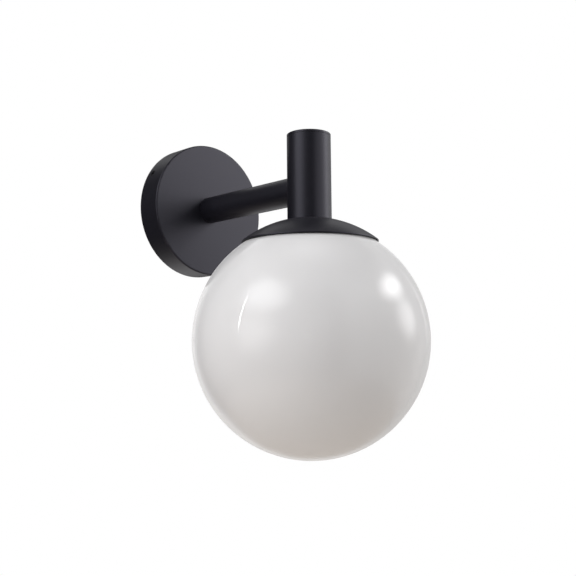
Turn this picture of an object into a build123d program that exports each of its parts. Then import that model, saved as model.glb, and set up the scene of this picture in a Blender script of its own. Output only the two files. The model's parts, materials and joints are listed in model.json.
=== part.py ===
from build123d import *
import math
import os

# A globe wall sconce: wall plate, arm, upright stem, domed cap and a glass globe under it.
# The wall is the plane y = 0 and the lamp reaches out towards -Y, with +Z up. The origin is the
# middle of the wall plate, on the wall. All lengths are millimetres and all angles degrees.

# ---------------------------------------------------------------- driving sizes
# wall plate: a spun cover, open towards the wall
plate_radius = 63.5
plate_depth = 26.0
plate_wall = 1.5
plate_edge_round = 1.5

# arm, stem and the stem's top cap
reach = 162.0                    # from the wall to the lamp's upright axis
arm_radius = 12.5
arm_wall = 1.5
stem_radius = 19.0
stem_wall = 1.5
stem_above_arm = 47.0            # from the arm's axis to the top of the stem's cap
stem_below_arm = 28.6            # from the arm's axis to the dome's seat
stem_cap_head = 2.4
stem_cap_round = 1.6
stem_cap_spigot = 6.0
stem_cap_wall = 2.0
stem_bush_length = 10.0
wire_hole_radius = 6.0           # hole in the stem's wall, inside the arm

# domed cap and its gasket
dome_crown_radius = 94.0
dome_seat_radius = 22.0
dome_rim_radius = 58.5
dome_lip_height = 0.8
dome_wall = 1.2
dome_rim_round = 0.4
gasket_width = 4.4
gasket_setback = 0.4
gasket_gap = 0.1                 # between the gasket and the dome's curved inside
lip_to_glass = 1.8               # upright distance from the lip to the glass under it
glass_gap = 0.3                  # between the glass and what it rests against

# glass globe
globe_radius = 100.0
glass_wall = 3.5
mouth_radius = 40.0
mouth_round = 0.8

# hollow threaded tubes and their nuts
nipple_radius = 5.0
nipple_bore_radius = 3.6
nipple_hole_clearance = 0.2
nut_across_flats = 14.0
arm_nut_thickness = 4.0
dome_nut_thickness = 3.0
washer_radius = 9.0
washer_thickness = 1.0
washer_teeth = 16
washer_tooth_depth = 1.2
washer_tooth_width = 1.4
arm_nipple_past_nut = 2.5
arm_nipple_in_plug = 10.0
arm_plug_length = 12.0
nipple_past_bush = 1.0

# gallery: the disc and leaf springs that hold the glass
gallery_thickness = 1.5
gallery_edge_clearance = 0.5
spring_count = 3
spring_first_angle = 90.0
spring_thickness = 0.6
spring_width = 11.0
spring_inner_radius = 14.0
spring_under_dome = 0.2          # from the dome's inside to the corner of the leaf's upper bend
spring_below_mouth = 4.8         # from the mouth's inner edge down to the leaf's knee
spring_tail_drop = 13.0
spring_tail_run = 6.0
spring_bend_radius = 3.0
rivet_radius = 1.25
rivet_head_radius = 2.2
rivet_head_height = 1.1
rivet_circle_radius = 17.5
rivet_spacing = 6.0

# lampholder
holder_radius = 20.5
holder_wall = 2.0
holder_length = 55.0
holder_shoulder_round = 9.0
holder_cap_length = 20.0
holder_boss_radius = 8.0
holder_boss_length = 8.0
holder_mouth_lip = 2.0
holder_bead = 1.0
insert_drop = 18.0               # from the lampholder's top to the insert's top
insert_thickness = 8.0
shell_length = 24.0
shell_thickness = 0.5
shell_flange_width = 2.8
shell_bottom_lip = 0.4
contact_strip_width = 5.0
contact_strip_thickness = 0.5
contact_strip_drop = 2.0
contact_strip_overhang = 3.0
terminal_post_size = 6.0
terminal_post_height = 7.0
live_post_x = 10.0
neutral_post_x = -15.0
terminal_pin_radius = 1.5
post_screw_radius = 1.5
post_screw_head_radius = 2.5
post_screw_head_height = 1.6
post_screw_depth = 4.0
post_wire_height = 3.5

# LED bulb with a 27 mm screw cap
bulb_length = 108.0
bulb_radius = 30.0
bulb_cap_radius = 13.2
bulb_cap_length = 26.5           # from the end contact to the cap's rim
bulb_cap_wall = 0.6
bulb_fit = 0.05                  # radial running clearance in the lampholder's shell
bulb_contact_radius = 4.8
bulb_contact_thickness = 1.0
bulb_contact_gap = 0.3           # to the lampholder's contact strip
bulb_turning_gap = 0.05
insulator_top_radius = 5.6
insulator_radius = 9.6
insulator_cone = 3.6
insulator_seat = 0.8
cap_shoulder = 2.4
housing_collar_radius = 14.4
housing_joint_radius = 28.8
housing_wall = 1.6
housing_neck_in_cap = 8.0
diffuser_wall = 1.2
board_thickness = 1.5
board_clearance = 0.3
led_size = 3.0
led_height = 0.7
led_rings = ((17.0, 12), (8.0, 6))

# wall bracket: a pressed disc with three bent ears
bracket_radius = 59.0
bracket_thickness = 2.0
bracket_dish_height = 3.0
bracket_dish_radius = 14.0
bracket_dish_slope = 3.5
ear_angles = (60.0, 180.0, 300.0)
ear_width = 14.0
ear_height = 14.0
ear_root = 6.0
ear_bend_round = 1.8
ear_plate_clearance = 0.4        # from the ear's corners to the plate's inside
side_screw_height = 7.5
side_screw_radius = 2.0
side_screw_length = 8.0
side_screw_head_radius = 2.8
side_screw_head_sunk = 0.2
side_screw_socket_radius = 1.3
side_screw_socket_depth = 1.4
side_hole_clearance = 0.2
wall_slot_spacing = 84.0
wall_slot_length = 14.0
wall_slot_width = 5.5

# supply bush
supply_bore_radius = 5.0
supply_bush_wall = 3.0
supply_bush_flange = 2.5
supply_bush_flange_thickness = 1.5

# three-way terminal strip
pole_pitch = 10.0
strip_width = 17.0
strip_base_height = 5.0
strip_height = 12.5
strip_centre_drop = 36.0         # below the plate's middle
tower_width = 6.0
tower_round = 1.5
tube_height = 6.5                # of the brass tubes above the bracket
tube_radius = 2.1
tube_setback = 1.0
conductor_bore_radius = 0.75
clamp_screw_radius = 1.5
clamp_screw_offset = 4.2
clamp_screw_sunk = 2.0
clamp_screw_clearance = 0.1
fixing_radius = 1.25
fixing_head_radius = 1.9
fixing_head_height = 1.6

# earth screw and ring terminal
earth_x = -24.0
earth_z = 12.0
earth_screw_radius = 2.0
earth_head_radius = 3.8
earth_head_height = 2.6
earth_slot_width = 1.0
earth_slot_depth = 1.2
ring_radius = 4.4
ring_thickness = 0.8
ring_hole_clearance = 0.15
barrel_radius = 1.9
barrel_start = 6.0               # below the screw's axis
barrel_length = 7.0
tongue_width = 3.2

# internal wires
wire_radius = 0.9
wire_spacing = 2.4               # between the two wires in the tubes
wire_lead = 3.0                  # straight out of the strip, before the wires come together
wire_gather_drop = 12.0          # below the arm's axis, where the two run side by side
wire_fan_radius = 9.0
wire_bend_radius = 8.0
post_bend_radius = 5.4
earth_wire_lead = 10.0
earth_wire_end = 1.0             # from the barrel's far end to the end of the insulation

# by which a cut runs past what it cuts
cut_over = 1.0

# ---------------------------------------------------------------- worked-out places


def sphere_height(radius, out):
    """Height over a ball's middle of the point on it at this distance from the axis."""
    return math.sqrt(radius * radius - out * out)


stem_top_z = stem_above_arm
dome_seat_z = -stem_below_arm
dome_inner_radius = dome_crown_radius - dome_wall
crown_centre_z = dome_seat_z - sphere_height(dome_crown_radius, dome_seat_radius)
dome_shoulder_z = crown_centre_z + sphere_height(dome_crown_radius, dome_rim_radius)
dome_lip_z = dome_shoulder_z - dome_lip_height
dome_underside_z = dome_seat_z - dome_wall
lip_inner_radius = dome_rim_radius - dome_wall
globe_z = dome_lip_z - lip_to_glass - sphere_height(globe_radius, dome_rim_radius)
glass_inner_radius = globe_radius - glass_wall
mouth_inner_z = globe_z + sphere_height(glass_inner_radius, mouth_radius)
mouth_outer_z = globe_z + sphere_height(globe_radius, mouth_radius)

nipple_hole_radius = nipple_radius + nipple_hole_clearance
gallery_radius = sphere_height(dome_inner_radius, dome_underside_z - crown_centre_z) - gallery_edge_clearance
gallery_z = dome_underside_z - gallery_thickness
holder_top_z = gallery_z - dome_nut_thickness
holder_joint_z = holder_top_z - holder_cap_length
holder_bottom_z = holder_top_z - holder_length
insert_top_z = holder_top_z - insert_drop
insert_bottom_z = insert_top_z - insert_thickness
holder_inner_radius = holder_radius - holder_wall
shell_inner_radius = bulb_cap_radius + bulb_fit
shell_outer_radius = shell_inner_radius + shell_thickness
shell_flange_radius = shell_outer_radius + shell_flange_width
neutral_pin_x = -(shell_outer_radius + shell_flange_width / 2)
strip_end_z = insert_bottom_z - contact_strip_drop - contact_strip_thickness

bulb_tip_z = strip_end_z - bulb_contact_gap
bulb_rim_z = bulb_tip_z - bulb_cap_length
bulb_ball_z = bulb_tip_z - bulb_length + bulb_radius
bulb_joint_z = bulb_ball_z + sphere_height(bulb_radius, housing_joint_radius)
insulator_top_z = bulb_tip_z - bulb_contact_thickness - bulb_turning_gap
insulator_shoulder_z = insulator_top_z - insulator_cone

plate_inner_radius = plate_radius - plate_wall
plate_inner_face = plate_depth - plate_wall
ear_face_radius = math.sqrt((plate_inner_radius - ear_plate_clearance) ** 2 - (ear_width / 2) ** 2)
side_hole_radius = side_screw_head_radius + side_hole_clearance
arm_nipple_inner_end = plate_inner_face - washer_thickness - arm_nut_thickness - arm_nipple_past_nut
arm_nipple_outer_end = plate_depth + arm_nipple_in_plug
dish_face = bracket_dish_height + bracket_thickness
supply_bush_radius = supply_bore_radius + supply_bush_wall
tube_distance = bracket_thickness + tube_height
tube_length = strip_width - 2 * tube_setback
strip_length = 3 * pole_pitch
pole_places = (-pole_pitch, 0.0, pole_pitch)
fixing_places = (-pole_pitch / 2, pole_pitch / 2)
tube_end_z = -strip_centre_drop + tube_length / 2
barrel_distance = bracket_thickness + barrel_radius

# ---------------------------------------------------------------- shared operations
FROM_WALL = Rot(90, 0, 0)        # turns "up from a bench" into "out from the wall"
LAMP_AXIS = Pos(0, -reach, 0)


def turned(corners):
    """A piece turned about the upright axis from its section's corners (out, height, rounding)."""
    points = [(out, 0, height) for out, height, rounding in corners]
    roundings = [rounding for out, height, rounding in corners]
    section = make_face(FilletPolyline(*points, radius=roundings, close=True))
    return revolve(section, axis=Axis.Z)


def turned_outline(edges):
    """A piece turned about the upright axis from edges that close in the XZ plane."""
    return revolve(make_face(edges), axis=Axis.Z)


def ball_arc(radius, centre_height, out_start, out_end):
    """The arc of a ball's section from one distance out to another, above the ball's middle."""
    out_middle = (out_start + out_end) / 2
    stations = (out_start, out_middle, out_end)
    points = [(out, 0, centre_height + sphere_height(radius, out)) for out in stations]
    return ThreePointArc(*points)


def rod(radius, low, high):
    """A round bar on the upright axis, from one height to another."""
    return Pos(0, 0, (low + high) / 2) * Cylinder(radius, high - low)


def pipe(radius, bore, low, high):
    """A round tube on the upright axis."""
    return rod(radius, low, high) - rod(bore, low - cut_over, high + cut_over)


def block(length, width, low, high):
    """A square bar on the upright axis, from one height to another."""
    return Pos(0, 0, (low + high) / 2) * Box(length, width, high - low)


def hex_nut(across_flats, bore, low, high):
    """A six-sided nut with chamfered corners."""
    flats = RegularPolygon(across_flats / 2, 6, major_radius=False)
    nut = Pos(0, 0, low) * extrude(flats, high - low)
    corner_radius = across_flats / math.sqrt(3)
    chamfer_run = corner_radius - across_flats / 2
    rounded = turned([
        (0, low, 0), (across_flats / 2, low, 0), (corner_radius, low + chamfer_run / 2, 0),
        (corner_radius, high - chamfer_run / 2, 0), (across_flats / 2, high, 0), (0, high, 0)])
    return (nut & rounded) - rod(bore, low - cut_over, high + cut_over)


def wire(name, points, bends):
    """A wire's insulation, swept along straight runs joined by arcs."""
    path = FilletPolyline(*points, radius=bends)
    section = Plane(origin=path @ 0, z_dir=path % 0) * Circle(wire_radius)
    print(name, "bend radii", bends, "length", round(path.length, 1))
    return sweep(section, path=path)


# ---------------------------------------------------------------- wall plate and bracket


def wall_plate():
    """The spun cover: its middle hole takes the arm's nipple, its rim takes the side screws."""
    plate = turned([
        (nipple_hole_radius, plate_inner_face, 0), (plate_inner_radius, plate_inner_face, 0),
        (plate_inner_radius, 0, 0), (plate_radius, 0, 0),
        (plate_radius, plate_depth, plate_edge_round), (nipple_hole_radius, plate_depth, 0)])
    for angle in ear_angles:
        plate -= side_way(angle) * rod(side_hole_radius, -plate_wall, plate_wall)
    return FROM_WALL * plate


def side_way(angle):
    """Place on the plate's inside wall at a side screw, with +Z pointing out through the rim."""
    return Rot(0, 0, angle) * Pos(0, plate_inner_radius, side_screw_height) * Rot(-90, 0, 0)


def wall_bracket():
    """The pressed disc: raised in the middle, flat against the wall outside, three bent ears."""
    dish_foot = bracket_dish_radius + bracket_dish_slope
    slope_length = math.hypot(bracket_dish_slope, bracket_dish_height)
    fold_shift = bracket_thickness * (slope_length - bracket_dish_slope) / bracket_dish_height
    bracket = turned([
        (supply_bush_radius, bracket_dish_height, 0), (bracket_dish_radius, bracket_dish_height, 0),
        (dish_foot, 0, 0), (bracket_radius, 0, 0), (bracket_radius, bracket_thickness, 0),
        (dish_foot + fold_shift, bracket_thickness, 0),
        (bracket_dish_radius + fold_shift, dish_face, 0), (supply_bush_radius, dish_face, 0)])
    for angle in ear_angles:
        bracket += Rot(0, 0, angle) * bracket_ear()
        bracket -= side_way(angle) * rod(side_screw_radius, -side_screw_length, plate_wall)
    for side in (-1, 1):
        slot = extrude(SlotOverall(wall_slot_length, wall_slot_width), 2 * bracket_thickness, both=True)
        bracket -= Pos(side * wall_slot_spacing / 2, 0, 0) * slot
    for place in fixing_places:
        bracket -= Pos(place, -strip_centre_drop, 0) * rod(fixing_radius, -cut_over, dish_face)
    bracket -= Pos(earth_x, earth_z, 0) * rod(earth_screw_radius, -cut_over, dish_face)
    return FROM_WALL * bracket


def bracket_ear():
    """One ear, bent up from the disc's edge, at the top of the bracket."""
    foot_start = bracket_radius - ear_root
    foot = Pos(0, (foot_start + ear_face_radius) / 2, bracket_thickness / 2) * Box(
        ear_width, ear_face_radius - foot_start, bracket_thickness)
    upright = Pos(0, ear_face_radius - bracket_thickness / 2, ear_height / 2) * Box(
        ear_width, bracket_thickness, ear_height)
    ear = foot + upright
    outer_fold = ear.edges().filter_by(Axis.X).sort_by(Axis.Y)[-2:].sort_by(Axis.Z)[0]
    ear = fillet(outer_fold, ear_bend_round)
    top_corners = ear.edges().filter_by(Axis.Y).sort_by(Axis.Z)[-2:]
    return fillet(top_corners, ear_width / 4)


def plate_screws():
    """The side screws: round heads sunk in the rim's holes, seated on the ears."""
    ear_to_wall = plate_inner_radius - ear_face_radius
    head_top = plate_wall - side_screw_head_sunk
    screw = rod(side_screw_head_radius, -ear_to_wall, head_top)
    screw = chamfer(screw.edges().sort_by(Axis.Z)[-1], side_screw_head_sunk)
    socket = extrude(RegularPolygon(side_screw_socket_radius, 6), side_screw_socket_depth)
    screw -= Pos(0, 0, head_top - side_screw_socket_depth) * socket
    screw += rod(side_screw_radius, -ear_to_wall - side_screw_length, -ear_to_wall)
    return FROM_WALL * Compound([side_way(angle) * screw for angle in ear_angles])


def supply_grommet():
    """The rubber bush in the bracket's middle, where the house's supply comes in."""
    flange_radius = supply_bush_radius + supply_bush_flange
    back = bracket_dish_height - supply_bush_flange_thickness
    front = dish_face + supply_bush_flange_thickness
    edge = supply_bush_flange_thickness / 2.5
    return FROM_WALL * turned([
        (supply_bore_radius, back, 0), (flange_radius, back, edge),
        (flange_radius, bracket_dish_height, 0), (supply_bush_radius, bracket_dish_height, 0),
        (supply_bush_radius, dish_face, 0), (flange_radius, dish_face, 0),
        (flange_radius, front, edge), (supply_bore_radius, front, 0)])


# ---------------------------------------------------------------- terminal strip and earth


def on_strip():
    """The place of the terminal strip's foot on the bracket."""
    return Pos(0, -strip_centre_drop, bracket_thickness)


def along_strip_wire(radius, length):
    """A round bar along a wire's way through the strip."""
    return Pos(0, 0, tube_height) * Rot(90, 0, 0) * Cylinder(radius, length)


def terminal_body():
    """The strip's insulating body: a base with a rounded tower over each brass tube."""
    body = block(strip_length, strip_width, 0, strip_base_height)
    shaft_radius = clamp_screw_radius + clamp_screw_clearance
    for place in pole_places:
        tower = block(tower_width, strip_width, 0, strip_height)
        tower = fillet(tower.edges().filter_by(Axis.Y).sort_by(Axis.Z)[-2:], tower_round)
        body += Pos(place, 0, 0) * tower
    for place in pole_places:
        body -= Pos(place, 0, 0) * along_strip_wire(tube_radius, strip_width + 2 * cut_over)
        for side in (-1, 1):
            shaft = rod(shaft_radius, tube_height, strip_height + cut_over)
            body -= Pos(place, side * clamp_screw_offset, 0) * shaft
    for place in fixing_places:
        body -= Pos(place, 0, 0) * rod(fixing_radius, -cut_over, strip_base_height + cut_over)
    return FROM_WALL * on_strip() * body


def terminal_inserts():
    """The brass tubes, bored for the conductors and tapped for the clamping screws."""
    tube = along_strip_wire(tube_radius, tube_length)
    tube -= along_strip_wire(conductor_bore_radius, tube_length + 2 * cut_over)
    for side in (-1, 1):
        tube -= Pos(0, side * clamp_screw_offset, 0) * rod(clamp_screw_radius, tube_height, strip_height)
    return FROM_WALL * on_strip() * Compound([Pos(place, 0, 0) * tube for place in pole_places])


def terminal_screws():
    """The six clamping screws, slotted, two over each tube."""
    top = strip_height - clamp_screw_sunk
    screw = rod(clamp_screw_radius, tube_height + conductor_bore_radius, top)
    screw -= Pos(0, 0, top) * Box(3 * clamp_screw_radius, fixing_head_height / 3, fixing_head_height)
    places = [Pos(place, side * clamp_screw_offset, 0) for place in pole_places for side in (-1, 1)]
    return FROM_WALL * on_strip() * Compound([place * screw for place in places])


def terminal_fixings():
    """The two screws between the towers that hold the strip to the bracket."""
    screw = rod(fixing_radius, -bracket_thickness, strip_base_height)
    head = rod(fixing_head_radius, strip_base_height, strip_base_height + fixing_head_height)
    head = fillet(head.edges().sort_by(Axis.Z)[-1], fixing_head_height / 3)
    screw += head
    return FROM_WALL * on_strip() * Compound([Pos(place, 0, 0) * screw for place in fixing_places])


def earth_screw():
    """The slotted screw that clamps the ring terminal to the bracket."""
    seat = bracket_thickness + ring_thickness
    head = rod(earth_head_radius, seat, seat + earth_head_height)
    head = fillet(head.edges().sort_by(Axis.Z)[-1], earth_head_height / 3)
    head -= Pos(0, 0, seat + earth_head_height) * Box(
        3 * earth_head_radius, earth_slot_width, 2 * earth_slot_depth)
    screw = head + rod(earth_screw_radius, 0, seat)
    return FROM_WALL * Pos(earth_x, earth_z, 0) * screw


def earth_terminal():
    """The ring terminal: a flat ring under the screw, a tongue and a crimped barrel."""
    ring = rod(ring_radius, bracket_thickness, bracket_thickness + ring_thickness)
    tongue_end = barrel_start + barrel_length / 3
    tongue = Pos(0, -tongue_end / 2, bracket_thickness + ring_thickness / 2) * Box(
        tongue_width, tongue_end, ring_thickness)
    barrel_middle = barrel_start + barrel_length / 2
    barrel_place = Pos(0, -barrel_middle, barrel_distance) * Rot(90, 0, 0)
    terminal = ring + tongue + barrel_place * Cylinder(barrel_radius, barrel_length)
    terminal -= barrel_place * Cylinder(wire_radius, barrel_length + 2 * cut_over)
    terminal -= rod(earth_screw_radius + ring_hole_clearance, 0, bracket_thickness + 2 * ring_thickness)
    return FROM_WALL * Pos(earth_x, earth_z, 0) * terminal


# ---------------------------------------------------------------- arm


def arm_tube():
    """The arm, from the wall plate to the stem, coped to the stem's round wall."""
    tube = FROM_WALL * pipe(arm_radius, arm_radius - arm_wall, plate_depth, reach)
    return tube - LAMP_AXIS * Cylinder(stem_radius, 4 * arm_radius)


def arm_root_plug():
    """The threaded plug in the arm's wall end."""
    return FROM_WALL * pipe(
        arm_radius - arm_wall, nipple_radius, plate_depth, plate_depth + arm_plug_length)


def arm_nipple():
    """The hollow threaded tube from the arm's plug through the wall plate."""
    return FROM_WALL * pipe(
        nipple_radius, nipple_bore_radius, arm_nipple_inner_end, arm_nipple_outer_end)


def arm_washer():
    """The toothed washer between the wall plate and the nut."""
    low = plate_inner_face - washer_thickness
    washer = pipe(washer_radius, nipple_hole_radius, low, plate_inner_face)
    gap = Pos(washer_radius, 0, low) * Box(2 * washer_tooth_depth, washer_tooth_width, 4 * washer_thickness)
    for turn in range(washer_teeth):
        washer -= Rot(0, 0, turn * 360 / washer_teeth) * gap
    return FROM_WALL * washer


def arm_nut():
    """The nut that pulls the arm against the wall plate."""
    high = plate_inner_face - washer_thickness
    return FROM_WALL * hex_nut(nut_across_flats, nipple_radius, high - arm_nut_thickness, high)


# ---------------------------------------------------------------- stem and dome


def stem_tube():
    """The upright tube, with the wires' hole in its wall where the arm joins it."""
    top = stem_top_z - stem_cap_head
    tube = pipe(stem_radius, stem_radius - stem_wall, dome_seat_z, top)
    wire_way = Pos(0, stem_radius, 0) * Rot(90, 0, 0) * Cylinder(wire_hole_radius, stem_radius)
    return LAMP_AXIS * (tube - wire_way)


def stem_cap():
    """The plug that closes the stem's top: a rounded head over a thin-walled spigot."""
    head_z = stem_top_z - stem_cap_head
    spigot_z = head_z - stem_cap_spigot
    spigot_radius = stem_radius - stem_wall
    return LAMP_AXIS * turned([
        (0, head_z, 0), (spigot_radius - stem_cap_wall, head_z, 0),
        (spigot_radius - stem_cap_wall, spigot_z, 0), (spigot_radius, spigot_z, 0),
        (spigot_radius, head_z, 0), (stem_radius, head_z, 0),
        (stem_radius, stem_top_z, stem_cap_round), (0, stem_top_z, 0)])


def stem_bush():
    """The threaded bush in the stem's lower end."""
    return LAMP_AXIS * pipe(
        stem_radius - stem_wall, nipple_radius, dome_seat_z, dome_seat_z + stem_bush_length)


def dome_nipple():
    """The hollow threaded tube through bush, dome, gallery, nut and lampholder."""
    return LAMP_AXIS * pipe(
        nipple_radius, nipple_bore_radius, holder_top_z - holder_boss_length,
        dome_seat_z + stem_bush_length + nipple_past_bush)


def dome_nut():
    """The nut that clamps the dome and the gallery to the stem."""
    return LAMP_AXIS * hex_nut(nut_across_flats, nipple_radius, holder_top_z, gallery_z)


def dome_cap():
    """The spun dome: a flat seat for the stem, a crown and a narrow upright edge."""
    seat_inner_radius = sphere_height(dome_inner_radius, dome_underside_z - crown_centre_z)
    lip_top_inner_z = crown_centre_z + sphere_height(dome_inner_radius, lip_inner_radius)
    outline = ball_arc(dome_crown_radius, crown_centre_z, dome_seat_radius, dome_rim_radius)
    outline += Line((dome_rim_radius, 0, dome_shoulder_z), (dome_rim_radius, 0, dome_lip_z))
    outline += Line((dome_rim_radius, 0, dome_lip_z), (lip_inner_radius, 0, dome_lip_z))
    outline += Line((lip_inner_radius, 0, dome_lip_z), (lip_inner_radius, 0, lip_top_inner_z))
    outline += ball_arc(dome_inner_radius, crown_centre_z, lip_inner_radius, seat_inner_radius)
    outline += Line((seat_inner_radius, 0, dome_underside_z), (nipple_hole_radius, 0, dome_underside_z))
    outline += Line((nipple_hole_radius, 0, dome_underside_z), (nipple_hole_radius, 0, dome_seat_z))
    outline += Line((nipple_hole_radius, 0, dome_seat_z), (dome_seat_radius, 0, dome_seat_z))
    dome = turned_outline(outline)
    shoulder = dome.edges().filter_by(GeomType.CIRCLE).filter_by(
        lambda edge: abs(edge.radius - dome_rim_radius) < 0.01).sort_by(Axis.Z)[-1]
    return LAMP_AXIS * fillet(shoulder, dome_rim_round)


def globe_gasket():
    """The silicone ring under the dome's edge, shaped to the dome above and the glass below."""
    inner = lip_inner_radius - gasket_width + dome_wall
    step = lip_inner_radius - gasket_gap
    outer = dome_rim_radius - gasket_setback
    crown = dome_inner_radius - gasket_gap
    glass = globe_radius + glass_gap
    inner_top = crown_centre_z + sphere_height(crown, inner)
    step_top = crown_centre_z + sphere_height(crown, step)
    inner_bottom = globe_z + sphere_height(glass, inner)
    outer_bottom = globe_z + sphere_height(glass, outer)
    outline = ball_arc(crown, crown_centre_z, inner, step)
    outline += Line((step, 0, step_top), (step, 0, dome_lip_z))
    outline += Line((step, 0, dome_lip_z), (outer, 0, dome_lip_z))
    outline += Line((outer, 0, dome_lip_z), (outer, 0, outer_bottom))
    outline += ball_arc(glass, globe_z, outer, inner)
    outline += Line((inner, 0, inner_bottom), (inner, 0, inner_top))
    return LAMP_AXIS * turned_outline(outline)


# ---------------------------------------------------------------- globe and its gallery


def glass_globe():
    """The blown globe, its mouth cut straight down through the wall, with polished edges."""
    outline = ThreePointArc(
        (mouth_radius, 0, mouth_outer_z), (globe_radius, 0, globe_z), (0, 0, globe_z - globe_radius))
    outline += Line((0, 0, globe_z - globe_radius), (0, 0, globe_z - glass_inner_radius))
    outline += ThreePointArc(
        (0, 0, globe_z - glass_inner_radius), (glass_inner_radius, 0, globe_z),
        (mouth_radius, 0, mouth_inner_z))
    outline += Line((mouth_radius, 0, mouth_inner_z), (mouth_radius, 0, mouth_outer_z))
    globe = turned_outline(outline)
    mouth_edges = globe.edges().filter_by(GeomType.CIRCLE).filter_by(
        lambda edge: abs(edge.radius - mouth_radius) < 0.01)
    return LAMP_AXIS * fillet(mouth_edges, mouth_round)


def gallery_plate():
    """The steel disc under the dome's seat that carries the springs."""
    plate = pipe(gallery_radius, nipple_hole_radius, gallery_z, dome_underside_z)
    for place in rivet_places():
        plate -= place * rod(rivet_radius, gallery_z - cut_over, dome_underside_z + cut_over)
    return LAMP_AXIS * plate


def spring_angles():
    """The directions of the leaf springs."""
    return [spring_first_angle + turn * 360 / spring_count for turn in range(spring_count)]


def rivet_places():
    """The rivets' axes, two to a spring, side by side."""
    sides = (-rivet_spacing / 2, rivet_spacing / 2)
    return [
        Rot(0, 0, angle) * Pos(rivet_circle_radius, side, 0)
        for angle in spring_angles() for side in sides]


def gallery_springs():
    """The leaf springs: flat under the disc, sloping out through the mouth, kneed below it."""
    middle_z = gallery_z - spring_thickness / 2
    bend_z = gallery_z + spring_under_dome
    bend_out = sphere_height(dome_inner_radius, bend_z - crown_centre_z)
    run = mouth_radius - bend_out
    drop = middle_z - mouth_inner_z
    edge_offset = glass_gap + spring_thickness / 2
    slope = math.atan2(drop, run) + math.asin(edge_offset / math.hypot(run, drop))
    knee_z = mouth_inner_z - spring_below_mouth
    knee_out = bend_out + (middle_z - knee_z) / math.tan(slope)
    print("spring slope", round(math.degrees(slope), 1))
    path = FilletPolyline(
        (spring_inner_radius, 0, middle_z), (bend_out, 0, middle_z), (knee_out, 0, knee_z),
        (knee_out - spring_tail_run, 0, knee_z - spring_tail_drop), radius=spring_bend_radius)
    section = Plane(origin=path @ 0, x_dir=(0, 1, 0), z_dir=path % 0) * Rectangle(
        spring_width, spring_thickness)
    leaf = sweep(section, path=path)
    for side in (-1, 1):
        hole = Pos(rivet_circle_radius, side * rivet_spacing / 2, 0)
        leaf -= hole * rod(rivet_radius, middle_z - spring_thickness, middle_z + spring_thickness)
    return LAMP_AXIS * Compound([Rot(0, 0, angle) * leaf for angle in spring_angles()])


def gallery_rivets():
    """The rivets: a low round head under each leaf, flush on the disc's upper face."""
    head_z = gallery_z - spring_thickness
    rivet = rod(rivet_radius, head_z, dome_underside_z)
    head = rod(rivet_head_radius, head_z - rivet_head_height, head_z)
    head = fillet(head.edges().sort_by(Axis.Z)[0], rivet_head_height / 2)
    rivet += head
    return LAMP_AXIS * Compound([place * rivet for place in rivet_places()])


# ---------------------------------------------------------------- lampholder


def holder_cap():
    """The lampholder's upper half: a round-shouldered cup on the nipple."""
    inner_round = holder_shoulder_round - holder_wall
    boss_z = holder_top_z - holder_boss_length
    roof_z = holder_top_z - holder_wall
    return LAMP_AXIS * turned([
        (nipple_radius, holder_top_z, 0),
        (holder_radius, holder_top_z, holder_shoulder_round),
        (holder_radius, holder_joint_z, 0), (holder_inner_radius, holder_joint_z, 0),
        (holder_inner_radius, roof_z, inner_round), (holder_boss_radius, roof_z, 0),
        (holder_boss_radius, boss_z, 0), (nipple_radius, boss_z, 0)])


def holder_body():
    """The lampholder's skirt, with a bead at the joint and a turned-in mouth."""
    mouth = shell_flange_radius
    bead_z = holder_joint_z - 2 * holder_bead
    return LAMP_AXIS * turned([
        (holder_inner_radius, holder_joint_z, 0),
        (holder_radius + holder_bead, holder_joint_z, holder_bead / 2),
        (holder_radius + holder_bead, bead_z, holder_bead / 2), (holder_radius, bead_z, 0),
        (holder_radius, holder_bottom_z, holder_wall / 2), (mouth, holder_bottom_z, 0),
        (mouth, holder_bottom_z + holder_mouth_lip, 0),
        (holder_inner_radius, holder_bottom_z + holder_mouth_lip, 0)])


def holder_insert():
    """The insulating disc that carries shell, contact strip and terminals."""
    insert = rod(holder_inner_radius, insert_bottom_z, insert_top_z)
    for pin_x in (live_post_x, neutral_pin_x):
        insert -= Pos(pin_x, 0, 0) * rod(
            terminal_pin_radius, insert_bottom_z - cut_over, insert_top_z + cut_over)
    return LAMP_AXIS * insert


def holder_shell():
    """The brass screw shell: a sleeve with a flange against the insert."""
    flange_z = insert_bottom_z - shell_thickness
    end_z = insert_bottom_z - shell_length
    return LAMP_AXIS * turned([
        (shell_inner_radius, insert_bottom_z, 0), (shell_flange_radius, insert_bottom_z, 0),
        (shell_flange_radius, flange_z, 0), (shell_outer_radius, flange_z, 0),
        (shell_outer_radius, end_z + shell_bottom_lip, 0),
        (shell_outer_radius + shell_bottom_lip, end_z, 0), (shell_inner_radius, end_z, 0)])


def holder_contact():
    """The springy strip that meets the bulb's end contact."""
    middle_z = insert_bottom_z - contact_strip_thickness / 2
    start_x = live_post_x + terminal_pin_radius
    bend_x = (live_post_x - terminal_pin_radius + bulb_contact_radius) / 2
    flat_end_x = bend_x - 2 * contact_strip_drop
    path = FilletPolyline(
        (start_x, 0, middle_z), (bend_x, 0, middle_z), (flat_end_x, 0, middle_z - contact_strip_drop),
        (-contact_strip_overhang, 0, middle_z - contact_strip_drop),
        radius=2 * contact_strip_thickness)
    section = Plane(origin=path @ 0, x_dir=(0, 1, 0), z_dir=path % 0) * Rectangle(
        contact_strip_width, contact_strip_thickness)
    return LAMP_AXIS * sweep(section, path=path)


def post(post_x, pin_x):
    """One terminal post on the insert, with the pin that goes down through it."""
    top = insert_top_z + terminal_post_height
    body = Pos(post_x, 0, 0) * block(terminal_post_size, terminal_post_size, insert_top_z, top)
    body -= Pos(post_x, 0, 0) * rod(post_screw_radius, top - post_screw_depth, top + cut_over)
    return body + Pos(pin_x, 0, 0) * rod(terminal_pin_radius, insert_bottom_z, insert_top_z)


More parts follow.
